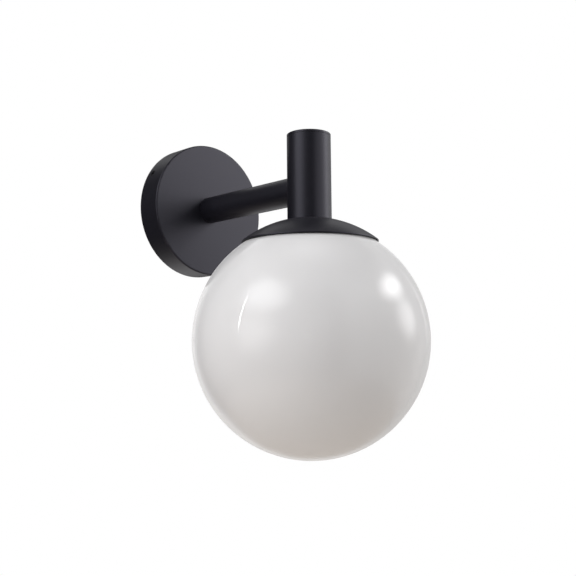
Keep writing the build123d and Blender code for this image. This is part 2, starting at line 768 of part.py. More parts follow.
def holder_terminals():
    """The live post, over the contact strip, and the neutral post, over the shell's flange."""
    posts = [post(live_post_x, live_post_x), post(neutral_post_x, neutral_pin_x)]
    return LAMP_AXIS * Compound(posts)


def holder_screws():
    """The clamping screws of the two posts, slotted."""
    top = insert_top_z + terminal_post_height
    screw = rod(post_screw_radius, top - post_screw_depth, top)
    head = rod(post_screw_head_radius, top, top + post_screw_head_height)
    head -= Pos(0, 0, top + post_screw_head_height) * Box(
        3 * post_screw_head_radius, post_screw_head_height / 2, post_screw_head_height)
    screw += head
    return LAMP_AXIS * Compound([Pos(post_x, 0, 0) * screw for post_x in (live_post_x, neutral_post_x)])


# ---------------------------------------------------------------- bulb


def bulb_contact():
    """The bulb's end contact, a round button that stays level while the bulb turns."""
    low = bulb_tip_z - bulb_contact_thickness
    return LAMP_AXIS * turned([
        (0, low, 0), (bulb_contact_radius, low, 0),
        (bulb_contact_radius, bulb_tip_z, bulb_contact_thickness / 2), (0, bulb_tip_z, 0)])


def bulb_insulator():
    """The black glass cone between the end contact and the screw cap."""
    bottom_z = insulator_shoulder_z - insulator_seat
    return LAMP_AXIS * turned([
        (0, insulator_top_z, 0), (insulator_top_radius, insulator_top_z, 0),
        (insulator_radius, insulator_shoulder_z, 0), (insulator_radius, bottom_z, 0),
        (0, bottom_z, 0)])


def bulb_screw_cap():
    """The bulb's metal cap, turned to the crest of its thread."""
    inner_radius = bulb_cap_radius - bulb_cap_wall
    shoulder_z = insulator_shoulder_z - cap_shoulder
    return LAMP_AXIS * turned([
        (insulator_radius, insulator_shoulder_z, 0), (bulb_cap_radius, shoulder_z, 0),
        (bulb_cap_radius, bulb_rim_z, 0), (inner_radius, bulb_rim_z, 0),
        (inner_radius, shoulder_z - insulator_seat, 0),
        (insulator_radius, insulator_shoulder_z - insulator_seat, 0)])


def housing_side(inset, start, end):
    """The flaring side of the bulb's housing, or its inside when inset by the wall."""
    ball_slope = sphere_height(bulb_radius, housing_joint_radius) / housing_joint_radius
    return Spline(
        (housing_collar_radius - inset, 0, start), (housing_joint_radius - inset, 0, end),
        tangents=[(0.15, 0, -1), (ball_slope, 0, -1)])


def bulb_housing():
    """The bulb's flaring body: a neck inside the screw cap and a thin wall down to the diffuser."""
    neck_radius = bulb_cap_radius - bulb_cap_wall
    neck_z = bulb_rim_z + housing_neck_in_cap
    collar_inner = housing_collar_radius - housing_wall
    neck_inner = neck_radius - housing_wall
    inside_z = bulb_rim_z - housing_wall
    outline = housing_side(0, bulb_rim_z, bulb_joint_z)
    outline += Line(
        (housing_joint_radius, 0, bulb_joint_z), (housing_joint_radius - housing_wall, 0, bulb_joint_z))
    outline += housing_side(housing_wall, inside_z, bulb_joint_z)
    outline += Line((collar_inner, 0, inside_z), (neck_inner, 0, inside_z))
    outline += Line((neck_inner, 0, inside_z), (neck_inner, 0, neck_z))
    outline += Line((neck_inner, 0, neck_z), (neck_radius, 0, neck_z))
    outline += Line((neck_radius, 0, neck_z), (neck_radius, 0, bulb_rim_z))
    outline += Line((neck_radius, 0, bulb_rim_z), (housing_collar_radius, 0, bulb_rim_z))
    return LAMP_AXIS * turned_outline(outline)


def bulb_diffuser():
    """The bulb's frosted dome, most of a thin-walled ball."""
    inner_radius = bulb_radius - diffuser_wall
    joint_height = bulb_joint_z - bulb_ball_z
    inner_joint = sphere_height(inner_radius, joint_height)
    outline = ThreePointArc(
        (housing_joint_radius, 0, bulb_joint_z), (bulb_radius, 0, bulb_ball_z),
        (0, 0, bulb_ball_z - bulb_radius))
    outline += Line((0, 0, bulb_ball_z - bulb_radius), (0, 0, bulb_ball_z - inner_radius))
    outline += ThreePointArc(
        (0, 0, bulb_ball_z - inner_radius), (inner_radius, 0, bulb_ball_z),
        (inner_joint, 0, bulb_joint_z))
    outline += Line((inner_joint, 0, bulb_joint_z), (housing_joint_radius, 0, bulb_joint_z))
    return LAMP_AXIS * turned_outline(outline)


def board_radius():
    """The light board's radius, inside both the housing and the diffuser."""
    return housing_joint_radius - max(housing_wall, diffuser_wall) - 2 * board_clearance


def bulb_board():
    """The bulb's light board, level with the housing's lower edge."""
    return LAMP_AXIS * rod(board_radius(), bulb_joint_z, bulb_joint_z + board_thickness)


def bulb_leds():
    """The light-emitting chips under the board, in rings."""
    chip = block(led_size, led_size, bulb_joint_z - led_height, bulb_joint_z)
    chips = []
    for ring, count in led_rings:
        chips += [Rot(0, 0, turn * 360 / count) * Pos(ring, 0, 0) * chip for turn in range(count)]
    return LAMP_AXIS * Compound(chips)


# ---------------------------------------------------------------- wires


def lamp_wire(name, side, pole_x, post_face_x):
    """A wire from the terminal strip through arm, stem and nipple to a post in the lampholder."""
    side_x = side * wire_spacing / 2
    out_y = -tube_distance
    post_z = insert_top_z + post_wire_height
    points = [
        (pole_x, out_y, tube_end_z), (pole_x, out_y, tube_end_z + wire_lead),
        (side_x, out_y, -wire_gather_drop), (side_x, out_y, 0), (side_x, -reach, 0),
        (side_x, -reach, post_z), (post_face_x, -reach, post_z)]
    bends = [wire_fan_radius, wire_bend_radius, wire_bend_radius, stem_radius / 2, post_bend_radius]
    return wire(name, points, bends)


def wire_live():
    """The brown wire, to the post over the contact strip."""
    return lamp_wire("wire_live", 1, pole_pitch, live_post_x - terminal_post_size / 2)


def wire_neutral():
    """The blue wire, to the post over the shell."""
    return lamp_wire("wire_neutral", -1, 0.0, neutral_post_x + terminal_post_size / 2)


def wire_earth():
    """The green and yellow wire, from the strip's end pole to the ring terminal."""
    barrel_top_z = earth_z - barrel_start
    points = [
        (-pole_pitch, -tube_distance, tube_end_z),
        (-pole_pitch, -tube_distance, tube_end_z + earth_wire_lead),
        (earth_x, -barrel_distance, barrel_top_z - barrel_length - wire_bend_radius),
        (earth_x, -barrel_distance, barrel_top_z - earth_wire_end)]
    return wire("wire_earth", points, [wire_fan_radius, wire_fan_radius])


# ---------------------------------------------------------------- write every piece
pieces = [
    wall_plate, wall_bracket, plate_screws, supply_grommet, terminal_body, terminal_inserts,
    terminal_screws, terminal_fixings, earth_screw, earth_terminal, arm_tube, arm_root_plug,
    arm_nipple, arm_washer, arm_nut, stem_tube, stem_cap, stem_bush, dome_nipple, dome_nut,
    dome_cap, globe_gasket, glass_globe, gallery_plate, gallery_springs, gallery_rivets,
    holder_cap, holder_body, holder_insert, holder_shell, holder_contact, holder_terminals,
    holder_screws, bulb_contact, bulb_insulator, bulb_screw_cap, bulb_housing, bulb_diffuser,
    bulb_board, bulb_leds, wire_live, wire_neutral, wire_earth]

os.makedirs("parts", exist_ok=True)
for piece in pieces:
    export_step(piece(), "parts/" + piece.__name__ + ".step")
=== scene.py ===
import json
import math
import bmesh
import bpy
from mathutils import Matrix, Vector


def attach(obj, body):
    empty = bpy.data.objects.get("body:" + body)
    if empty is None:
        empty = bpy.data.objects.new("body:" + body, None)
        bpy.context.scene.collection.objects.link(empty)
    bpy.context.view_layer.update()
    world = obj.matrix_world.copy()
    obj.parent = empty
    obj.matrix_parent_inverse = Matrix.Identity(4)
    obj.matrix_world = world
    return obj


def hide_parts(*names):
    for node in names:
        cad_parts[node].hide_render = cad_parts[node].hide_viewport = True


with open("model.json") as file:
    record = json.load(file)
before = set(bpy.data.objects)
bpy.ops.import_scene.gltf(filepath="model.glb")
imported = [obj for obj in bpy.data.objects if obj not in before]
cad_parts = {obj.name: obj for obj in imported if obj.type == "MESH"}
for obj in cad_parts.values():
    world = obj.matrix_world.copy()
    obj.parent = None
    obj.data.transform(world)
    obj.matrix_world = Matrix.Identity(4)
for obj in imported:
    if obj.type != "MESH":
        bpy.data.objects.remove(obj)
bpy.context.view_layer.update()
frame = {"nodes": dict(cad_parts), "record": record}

MM = 0.001
LAMP_Y = -0.162                     # the upright axis of stem, globe and bulb
GLOBE_Z = -0.13011                  # the globe's centre on that axis
ON_LAMP_AXIS = Matrix.Translation((0.0, LAMP_Y, 0.0))
SAME_POINT = 0.000002               # points nearer than this, in metres, are one
SHARP_TURN = math.radians(38.0)     # an edge that turns the surface by more is sharp
CORNER_STEPS = 6                    # chords in a rounded corner
GLASS_FLATS = 176                   # flats round the globe and its gasket
record = frame["record"]
slot_of = {part["node"]: part["material_slot"] for part in record["subparts"]}
body_of = {node: body for body, nodes in record["behaviour"]["bodies"].items() for node in nodes}
scene = bpy.context.scene


# ---------------------------------------------------------------- node trees
class Signal:
    """A socket of a node tree that can be reckoned with like a number."""

    def __init__(self, home, socket):
        self.home, self.socket = home, socket

    def maths(self, operation, first, second=0.0):
        return self.home.out("ShaderNodeMath", {"operation": operation}, {0: first, 1: second})

    def __add__(self, other): return self.maths("ADD", self, other)
    def __radd__(self, other): return self.maths("ADD", other, self)
    def __sub__(self, other): return self.maths("SUBTRACT", self, other)
    def __rsub__(self, other): return self.maths("SUBTRACT", other, self)
    def __mul__(self, other): return self.maths("MULTIPLY", self, other)
    def __rmul__(self, other): return self.maths("MULTIPLY", other, self)
    def __truediv__(self, other): return self.maths("DIVIDE", self, other)
    def __gt__(self, other): return self.maths("GREATER_THAN", self, other)
    def sine(self): return self.maths("SINE", self)
    def cosine(self): return self.maths("COSINE", self)
    def over(self, floor): return self.maths("MAXIMUM", self, floor)
    def under(self, roof): return self.maths("MINIMUM", self, roof)


class Nodes:
    """A node tree under construction."""

    def __init__(self, tree):
        self.nodes, self.links = tree.nodes, tree.links
        self.nodes.clear()

    def add(self, kind, settings=None, values=None):
        """Adds a node: its settings first, then the values or links of its sockets."""
        node = self.nodes.new(kind)
        for key, value in (settings or {}).items():
            setattr(node, key, value)
        for key, value in (values or {}).items():
            if isinstance(value, Signal):
                self.links.new(value.socket, node.inputs[key])
            else:
                node.inputs[key].default_value = value
        return node

    def out(self, kind, settings=None, values=None, output=0):
        """Adds a node and gives one of its outputs."""
        return Signal(self, self.add(kind, settings, values).outputs[output])


# ---------------------------------------------------------------- finishes
class Finish(Nodes):
    """One material: a Principled shader and the nodes that feed it."""

    def __init__(self, name, **constants):
        self.material = bpy.data.materials.new(name)
        self.material.use_nodes = True
        super().__init__(self.material.node_tree)
        self.shader = self.add("ShaderNodeBsdfPrincipled", None, {
            socket.replace("_", " "): value for socket, value in constants.items()})
        self.coated = Signal(self, self.shader.outputs[0])
        self.surface = self.add("ShaderNodeOutputMaterial", None, {0: self.coated})
        self.place = self.out("ShaderNodeTexCoord", output="Object")

    def feed(self, socket, signal):
        self.links.new(signal.socket, self.shader.inputs[socket])

    def grain(self, scale, detail=2.0, stretch=None):
        """Noise from 0 to 1, with this many waves to a metre, stretched along an axis if asked."""
        place = self.place
        if stretch:
            place = self.out("ShaderNodeVectorMath", {"operation": "MULTIPLY"}, {
                0: place, 1: stretch})
        return self.out("ShaderNodeTexNoise", None, {
            "Vector": place, "Scale": scale, "Detail": detail})

    def axis(self, letter):
        """One of the piece's own coordinates, in metres."""
        return self.out("ShaderNodeSeparateXYZ", None, {0: self.place}, output=letter)

    def tint(self, low, high, amount):
        """A colour between two, by a signal from 0 to 1."""
        return self.out("ShaderNodeMix", {"data_type": "RGBA"}, {
            0: amount, 6: (*low, 1.0), 7: (*high, 1.0)}, output=2)

    def colour(self, low, high, amount):
        self.feed("Base Color", self.tint(low, high, amount))

    def lean(self, start):
        """How far the surface turns from the eye: 0 up to this share of the turn, 1 edge on."""
        edge = self.out("ShaderNodeLayerWeight", None, {"Blend": 0.5}, output="Facing")
        return ((edge - start) / (1.0 - start)).over(0.0)

    def relief(self, height, strength, depth):
        """Bumps the surface by a signal from 0 to 1, up to this depth in metres."""
        self.feed("Normal", self.out("ShaderNodeBump", None, {
            "Strength": strength, "Distance": depth, "Height": height}))

    def thin_out(self, share):
        """Lets the surface vanish as a signal goes from 0 to 1."""
        clear = self.out("ShaderNodeBsdfTransparent")
        thinned = self.out("ShaderNodeMixShader", None, {0: share, 1: self.coated, 2: clear})
        self.links.new(thinned.socket, self.surface.inputs[0])


def black_powder_coat():
    """Baked powder: a fine, even grain with a faint broader ripple."""
    coat = Finish("black_powder_coat", Specular_IOR_Level=0.5,
                  Specular_Tint=(0.87, 0.845, 1.0, 1.0))
    broad, fine = coat.grain(140.0), coat.grain(1700.0, 1.0)
    coat.colour((0.0056, 0.0052, 0.0082), (0.0088, 0.0084, 0.0124), broad * 0.6 + fine * 0.4)
    lean = coat.lean(0.62)
    coat.feed("Roughness", 0.33 + fine * 0.10 + broad * 0.04 + lean * lean * 0.45)
    coat.relief(fine * 0.7 + coat.grain(520.0, 1.0) * 0.3, 0.35, 0.00006)
    return coat


def opal_glass():
    """White opal glass under a clear, fire-polished skin."""
    glass = Finish("opal_glass", Coat_Roughness=0.015, Coat_IOR=1.45,
                   Specular_IOR_Level=0.2, Subsurface_Weight=0.3, Subsurface_Scale=0.006,
                   Subsurface_Radius=(1.0, 0.97, 0.94))
    glass.colour((0.822, 0.800, 0.797), (0.852, 0.833, 0.832), glass.grain(14.0, 3.0))
    lean = glass.lean(0.72)
    glass.feed("Roughness", 0.32 + lean * 0.5)
    glass.feed("Coat Weight", 1.0 - lean * lean * 0.92)
    return glass


def plated(name, low, high, roughness=0.28):
    """Bright plating or blacking over metal, cloudy in places and finely scratched."""
    metal = Finish(name, Metallic=1.0)
    cloud, lines = metal.grain(90.0, 3.0), metal.grain(900.0, 2.0, stretch=(1.0, 0.12, 1.0))
    metal.colour(low, high, cloud)
    metal.feed("Roughness", roughness + cloud * 0.12 + lines * 0.10)
    metal.relief(lines, 0.12, 0.00003)
    return metal


def moulded(name, low, high, roughness, skin_scale=1100.0):
    """Pressed or moulded plastic, porcelain or rubber: nearly even, with a fine skin."""
    stuff = Finish(name)
    cloud, skin = stuff.grain(120.0, 2.0), stuff.grain(skin_scale, 1.0)
    stuff.colour(low, high, cloud)
    stuff.feed("Roughness", roughness + skin * 0.08 - cloud * 0.04)
    stuff.relief(skin, 0.25, 0.00003)
    return stuff


def light_board():
    """A white-printed board with faint tracks between the chips."""
    board = Finish("light_board", Roughness=0.4)
    ripple = (board.axis("X") * 900.0).sine() * (board.axis("Y") * 900.0 + 0.6).sine()
    board.colour((0.86, 0.86, 0.84), (0.70, 0.71, 0.69), ripple > 0.55)
    return board


def earth_insulation():
    """Green insulation with yellow stripes along it, from the wire's own around value."""
    skin = Finish("earth_insulation", Roughness=0.38)
    around = skin.out("ShaderNodeAttribute", {"attribute_name": "around"}, output="Fac")
    stripe = (around * (4 * math.pi)).sine() > 0.15
    skin.feed("Base Color", skin.tint((0.09, 0.33, 0.06), (0.80, 0.62, 0.04), stripe))
    skin.relief(skin.grain(1500.0, 1.0), 0.2, 0.00002)
    return skin


finishes = {
    "black_coat": black_powder_coat(),
    "black_screw": plated("blackened_screw", (0.018, 0.018, 0.020), (0.035, 0.034, 0.036), 0.34),
    "zinc_steel": plated("zinc_plate", (0.48, 0.50, 0.54), (0.62, 0.63, 0.64)),
    "spring_steel": plated("blued_spring", (0.12, 0.14, 0.20), (0.20, 0.21, 0.26), 0.30),
    "brass": plated("bright_brass", (0.66, 0.47, 0.17), (0.80, 0.60, 0.26), 0.22),
    "tinned_copper": plated("tin_plate", (0.55, 0.54, 0.52), (0.68, 0.67, 0.64), 0.34),
    "tin_solder": plated("tin_solder", (0.50, 0.50, 0.48), (0.66, 0.65, 0.62), 0.32),
    "nickel": plated("nickel_plate", (0.58, 0.56, 0.51), (0.70, 0.68, 0.63), 0.20),
    "black_rubber": moulded("black_rubber", (0.016, 0.016, 0.016), (0.026, 0.026, 0.026), 0.62),
    "black_silicone": moulded("black_silicone", (0.012, 0.012, 0.012), (0.02, 0.02, 0.02), 0.48),
    "white_polyamide": moulded("white_polyamide", (0.72, 0.72, 0.68), (0.80, 0.80, 0.77), 0.40),
    "black_phenolic": moulded("black_phenolic", (0.018, 0.016, 0.015), (0.030, 0.027, 0.025), 0.30),
    "white_porcelain": moulded("white_porcelain", (0.76, 0.75, 0.72), (0.82, 0.81, 0.78), 0.14,
                               skin_scale=300.0),
    "black_glass": moulded("black_vitrite", (0.010, 0.010, 0.013), (0.02, 0.02, 0.024), 0.12,
                           skin_scale=400.0),
    "white_plastic": moulded("white_plastic", (0.74, 0.74, 0.73), (0.78, 0.78, 0.77), 0.26),
    "frosted_plastic": moulded("frosted_plastic", (0.80, 0.80, 0.78), (0.84, 0.84, 0.82), 0.52),
    "light_board": light_board(),
    "yellow_chip": moulded("yellow_phosphor", (0.78, 0.62, 0.10), (0.84, 0.70, 0.16), 0.45),
    "brown_wire": moulded("brown_insulation", (0.13, 0.055, 0.022), (0.18, 0.08, 0.035), 0.34),
    "blue_wire": moulded("blue_insulation", (0.035, 0.13, 0.42), (0.05, 0.17, 0.50), 0.34),
    "earth_wire": earth_insulation(),
    "opal_glass": opal_glass()}


# ---------------------------------------------------------------- making pieces
def dress(piece, node):
    """Gives a piece its node's finish and body, and lets it stand for that node."""
    piece.data.materials.clear()
    piece.data.materials.append(finishes[slot_of[node]].material)
    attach(piece, body_of[node])
    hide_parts(node)
    return piece


def new_piece(name, mesh):
    piece = bpy.data.objects.new(name, mesh)
    scene.collection.objects.link(piece)
    return piece


def soften(piece, edge):
    """Breaks the sharp edges by this width and keeps flat faces flat in the light."""
    if edge:
        bevel = piece.modifiers.new("broken_edges", "BEVEL")
        bevel.width = edge
        bevel.segments = 2
        bevel.limit_method = "ANGLE"
        bevel.angle_limit = SHARP_TURN
        bevel.miter_outer = "MITER_ARC"
    weighted = piece.modifiers.new("flat_faces", "WEIGHTED_NORMAL")
    weighted.keep_sharp = True
    return piece


def finished_copy(node, edge):
    """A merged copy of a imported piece, with smooth curves and broken edges, that stands for it."""
    work = bmesh.new()
    work.from_mesh(frame["nodes"][node].data)
    bmesh.ops.remove_doubles(work, verts=work.verts, dist=SAME_POINT)
    nearly_flat = math.radians(0.4)
    bmesh.ops.dissolve_limit(work, angle_limit=nearly_flat, verts=work.verts, edges=work.edges)
    for face in work.faces:
        face.smooth = True
    mesh = bpy.data.meshes.new(node + "_finished")
    work.to_mesh(mesh)
    work.free()
    if "custom_normal" in mesh.attributes:
        mesh.attributes.remove(mesh.attributes["custom_normal"])
    mesh.set_sharp_from_angle(angle=SHARP_TURN)
    return dress(soften(new_piece(node + "_finished", mesh), edge), node)


def arc(centre_height, radius, start, end, steps):
    """Points (out, height) on a ball's section between two angles over the equator, in degrees."""
    angles = [math.radians(start + (end - start) * step / steps) for step in range(steps + 1)]
    return [(radius * math.cos(a), centre_height + radius * math.sin(a)) for a in angles]


def ball_height(centre, radius, out):
    """The height of a ball's upper side at this distance from its axis."""
    return centre + math.sqrt(radius ** 2 - out ** 2)


def lathe(name, profile, flats):
    """Turns a closed profile of (out, height) points, in millimetres, about the lamp's axis."""
    work = bmesh.new()
    rings = []
    for out, height in profile:
        turns = [2 * math.pi * turn / flats for turn in range(1 if out < 1e-6 else flats)]
        rings.append([work.verts.new((
            out * MM * math.cos(turn), LAMP_Y + out * MM * math.sin(turn), height * MM))
            for turn in turns])
    for ring, following in zip(rings, rings[1:] + rings[:1]):
        if len(ring) == 1 and len(following) == 1:
            continue
        for flat in range(flats):
            after = (flat + 1) % flats
            corners = [ring[flat % len(ring)], ring[after % len(ring)],
                       following[after % len(following)], following[flat % len(following)]]
            work.faces.new(list(dict.fromkeys(corners))).smooth = True
    bmesh.ops.recalc_face_normals(work, faces=work.faces)
    mesh = bpy.data.meshes.new(name)
    work.to_mesh(mesh)
    work.free()
    return new_piece(name, mesh)


def rounded_corner(before, corner, after):
    """The points between two others on a smooth curve that is drawn towards the corner."""
    shares = [step / CORNER_STEPS for step in range(1, CORNER_STEPS)]
    return [tuple((1 - t) ** 2 * a + 2 * t * (1 - t) * b + t * t * c
                  for a, b, c in zip(before, corner, after)) for t in shares]


def blown_globe():
    """The glass, outside and inside, with its polished mouth."""
    centre, outer, inner, mouth = GLOBE_Z / MM, 99.94, 96.5, 40.0
    outer_run, inner_run = 1.2, 0.5         # how far the mouth's two edges are molten round
    top, low = ball_height(centre, outer, mouth), ball_height(centre, inner, mouth)
    outer_lean = math.degrees(math.acos(mouth / outer) - outer_run / outer)
    inner_lean = math.degrees(math.acos(mouth / inner) - inner_run / inner)
    outside = arc(centre, outer, start=-90.0, end=outer_lean, steps=150)
    inside = arc(centre, inner, start=inner_lean, end=-90.0, steps=110)
    bore_top, bore_low = (mouth, top - outer_run), (mouth, low + inner_run)
    profile = outside + rounded_corner(outside[-1], (mouth, top), bore_top) + [bore_top, bore_low]
    profile += rounded_corner(bore_low, (mouth, low), inside[0]) + inside
    return lathe("blown_globe", profile, flats=GLASS_FLATS)


def pressed_in_cap():
    """The stem's cap: a head with a tightly rounded edge, over a thin-walled spigot."""
    top, seam, low = 47.0, 44.6, 38.6       # heights of the head's top and underside, spigot's end
    head, spigot, bore = 19.0, 17.5, 15.5   # radii
    rounding, broken, bore_broken = 0.8, 0.3, 0.2
    crest, side = (head - rounding, top), (head, top - rounding)
    profile = [(0.0, top), crest] + rounded_corner(crest, (head, top), side) + [side]
    profile += [(head, seam + broken), (head - broken, seam), (spigot, seam),
                (spigot, low + broken), (spigot - broken, low),
                (bore + bore_broken, low), (bore, low + bore_broken), (bore, seam), (0.0, seam)]
    cap = lathe("pressed_in_cap", profile, flats=128)
    cap.data.set_sharp_from_angle(angle=math.radians(40.0))
    return cap


def seated_gasket():
    """The silicone ring between the dome's inside and the glass, a little back from the rim."""
    dome_inside, dome_centre, glass = 92.7, -119.99, 100.0
    back, front = 54.0, 57.0                # how far the ring bulges inwards and outwards
    across = [54.3, 54.9, 55.5, 56.1, 56.6]
    dome_side = [(out, ball_height(dome_centre, dome_inside, out)) for out in across]
    glass_side = [(out, ball_height(GLOBE_Z / MM, glass, out)) for out in reversed(across)]

    def bulge(start, end, out):
        return rounded_corner(start, (out, (start[1] + end[1]) / 2), end)

    profile = dome_side + bulge(dome_side[-1], glass_side[0], front)
    profile += glass_side + bulge(glass_side[-1], dome_side[0], back)
    return lathe("seated_gasket", profile, flats=GLASS_FLATS)


# ---------------------------------------------------------------- geometry trees
class Tree(Nodes):
    """A geometry tree with named inputs that ends in real, dressed faces."""

    def __init__(self, name, inputs):
        self.tree = bpy.data.node_groups.new(name, "GeometryNodeTree")
        super().__init__(self.tree)
        socket = self.tree.interface.new_socket
        socket("Geometry", in_out="INPUT", socket_type="NodeSocketGeometry")
        self.keys = {}
        for label, value in inputs.items():
            kind = "NodeSocketInt" if isinstance(value, int) else "NodeSocketFloat"
            item = socket(label, in_out="INPUT", socket_type=kind)
            item.default_value = value
            self.keys[label] = item.identifier
        finish = socket("Material", in_out="INPUT", socket_type="NodeSocketMaterial")
        self.keys["Material"] = finish.identifier
        socket("Geometry", in_out="OUTPUT", socket_type="NodeSocketGeometry")
        self.entry = self.add("NodeGroupInput")

    def given(self, label):
        return Signal(self, self.entry.outputs[label])

    def end(self, shape):
        whole = self.out("GeometryNodeRealizeInstances", None, {0: shape})
        coated = self.out("GeometryNodeSetMaterial", None, {
            "Geometry": whole, "Material": self.given("Material")})
        self.add("NodeGroupOutput", None, {0: coated})

    def grow(self, name, node, mesh, values):
        """Runs the tree on a mesh, with the node's finish, and gives the result as a piece."""
        start = new_piece(name + "_start", mesh)
        modifier = start.modifiers.new("tree", "NODES")
        modifier.node_group = self.tree
        for label, value in {**values, "Material": finishes[slot_of[node]].material}.items():
            modifier[self.keys[label]] = value
        graph = bpy.context.evaluated_depsgraph_get()
        grown = bpy.data.meshes.new_from_object(start.evaluated_get(graph))
        grown.name = name
        bpy.data.objects.remove(start)
        return new_piece(name, grown)


def thread_tree():
    """A threaded sleeve about the upright axis: its radius waves along a helix between two heights,
    plain beyond them, and a cone may cut its upper end."""
    tree = Tree("thread", {
        "Crest": 0.0132, "Depth": 0.0011, "Pitch": 0.003629, "Low": -0.08, "High": -0.07,
        "Fade": 0.0012, "Bottom": -0.09, "Top": -0.068, "Neck": 1.0, "Cone": 0.0, "Rows": 60})
    flats = 96
    grid = tree.out("GeometryNodeMeshGrid", None, {
        "Size X": 1.0, "Size Y": 1.0, "Vertices X": flats + 1, "Vertices Y": tree.given("Rows")})
    where = tree.out("GeometryNodeInputPosition")
    around = tree.out("ShaderNodeSeparateXYZ", None, {0: where}, output="X") + 0.5
    along = tree.out("ShaderNodeSeparateXYZ", None, {0: where}, output="Y") + 0.5
    bottom, top, fade = tree.given("Bottom"), tree.given("Top"), tree.given("Fade")
    height = bottom + along * (top - bottom)
    turn = around * (2 * math.pi)
    wave = 0.5 - 0.5 * (height / tree.given("Pitch") * (2 * math.pi) - turn).cosine()
    ends = ((height - tree.given("Low")) / fade).under((tree.given("High") - height) / fade)
    waved = tree.given("Crest") - tree.given("Depth") * wave * ends.over(0.0).under(1.0)
    out = waved.under(tree.given("Neck") + tree.given("Cone") * (top - height))
    spot = tree.out("ShaderNodeCombineXYZ", None, {
        "X": out * turn.cosine(), "Y": out * turn.sine(), "Z": height})
    moved = tree.out("GeometryNodeSetPosition", None, {"Geometry": grid, "Position": spot})
    joined = tree.out("GeometryNodeMergeByDistance", None, {
        "Geometry": moved, "Distance": SAME_POINT})
    tree.end(tree.out("GeometryNodeSetShadeSmooth", None, {"Geometry": joined}))
    return tree


def wire_tree():
    """A wire's insulation along a route whose corners carry their own bend radius."""
    tree = Tree("wire", {"Radius": 0.0009, "Sides": 16})
    route = tree.out("GeometryNodeMeshToCurve", None, {"Mesh": tree.given("Geometry")})
    bend = tree.out("GeometryNodeInputNamedAttribute", {"data_type": "FLOAT"}, {"Name": "bend"})
    bent = tree.out("GeometryNodeFilletCurve", {"mode": "POLY"}, {
        "Curve": route, "Count": 14, "Radius": bend, "Limit Radius": True})
    ring = tree.out("GeometryNodeCurvePrimitiveCircle", None, {
        "Resolution": tree.given("Sides"), "Radius": tree.given("Radius")})
    share = tree.out("GeometryNodeSplineParameter", output="Factor")
    marked = tree.out("GeometryNodeStoreNamedAttribute", {
        "data_type": "FLOAT", "domain": "POINT"}, {
        "Geometry": ring, "Name": "around", "Value": share})
    tube = tree.out("GeometryNodeCurveToMesh", None, {
        "Curve": bent, "Profile Curve": marked, "Fill Caps": True})
    tree.end(tree.out("GeometryNodeSetShadeSmooth", None, {"Geometry": tube}))
    return tree


threads, wires = thread_tree(), wire_tree()
WIRE_RADIUS = 0.9
WIRE_SIDES = 16
STRIP_OUT, STEM_OUT = -8.5, LAMP_Y / MM     # how far out the wires rise: at the strip, in the stem
POST_HEIGHT = -48.8                         # of the wires' posts in the lampholder


def bare_mesh(name, points=(), bends=()):
    """A mesh of points joined in a line, each with its bend radius."""
    mesh = bpy.data.meshes.new(name)
    mesh.from_pydata([Vector(point) * MM for point in points],
                     [(i, i + 1) for i in range(len(points) - 1)], [])
    if bends:
        held = mesh.attributes.new("bend", "FLOAT", "POINT")
        held.data.foreach_set("value", [bend * MM for bend in bends])
    return mesh


def laid_wire(node, points, bends):
    """A wire along its route, dressed for its node."""
    route = bare_mesh(node, points, [0.0, *bends, 0.0])
    sizes = {"Radius": WIRE_RADIUS * MM, "Sides": WIRE_SIDES}
    dress(wires.grow(node + "_laid", node, route, sizes), node)


def lamp_wire_route(side, pole, post):
    """The corners of a wire from the terminal strip to a post in the lampholder."""
    return [(pole, STRIP_OUT, -28.5), (pole, STRIP_OUT, -25.5), (side, STRIP_OUT, -12.0),
            (side, STRIP_OUT, 0.0), (side, STEM_OUT, 0.0),
            (side, STEM_OUT, POST_HEIGHT), (post, STEM_OUT, POST_HEIGHT)]


def threaded_sleeve(node, crest, depth, pitch, thread, sleeve, **more):
    """The bare surface of a thread between two heights on a longer sleeve, in millimetres."""
    values = {"Crest": crest * MM, "Depth": depth * MM, "Pitch": pitch * MM, "Low": thread[0] * MM,
              "High": thread[1] * MM, "Bottom": sleeve[0] * MM, "Top": sleeve[1] * MM, **more}
    return threads.grow(node + "_threaded", node, bare_mesh(node), values)


def run_on(piece, top, points, close=False):
    """Carries a sleeve's upper or lower edge on through (out, height) points, in millimetres."""
    work = bmesh.new()
    work.from_mesh(piece.data)
    heights = [vert.co.z for vert in work.verts]
    edge_height = max(heights) if top else min(heights)
    slack = 0.01 * MM
    rim = [edge for edge in work.edges if edge.is_boundary
           and all(abs(vert.co.z - edge_height) < slack for vert in edge.verts)]
    for out, height in points:
        grown = bmesh.ops.extrude_edge_only(work, edges=rim)["geom"]
        for vert in [item for item in grown if isinstance(item, bmesh.types.BMVert)]:
            stretch = out * MM / math.hypot(vert.co.x, vert.co.y)
            vert.co = (vert.co.x * stretch, vert.co.y * stretch, height * MM)
        rim = [item for item in grown if isinstance(item, bmesh.types.BMEdge)]
    if close:
        bmesh.ops.bridge_loops(work, edges=[edge for edge in work.edges if edge.is_boundary])
    bmesh.ops.recalc_face_normals(work, faces=work.faces)
    if not close:
        outward = sum(face.normal.xy.dot(face.calc_center_median().xy) for face in work.faces)
        if outward < 0:
            bmesh.ops.reverse_faces(work, faces=work.faces)
    for face in work.faces:
        face.smooth = True
    work.to_mesh(piece.data)
    work.free()
    piece.data.set_sharp_from_angle(angle=math.radians(50.0))
    return piece


def rolled_sheet(piece, node, wall, outward):
    """Gives a threaded sheet its wall, sets it on the lamp's axis and dresses it."""
    sheet = piece.modifiers.new("wall", "SOLIDIFY")
    sheet.thickness = wall * MM
    sheet.offset = 1.0 if outward else -1.0
    piece.data.transform(ON_LAMP_AXIS)
    return dress(piece, node)


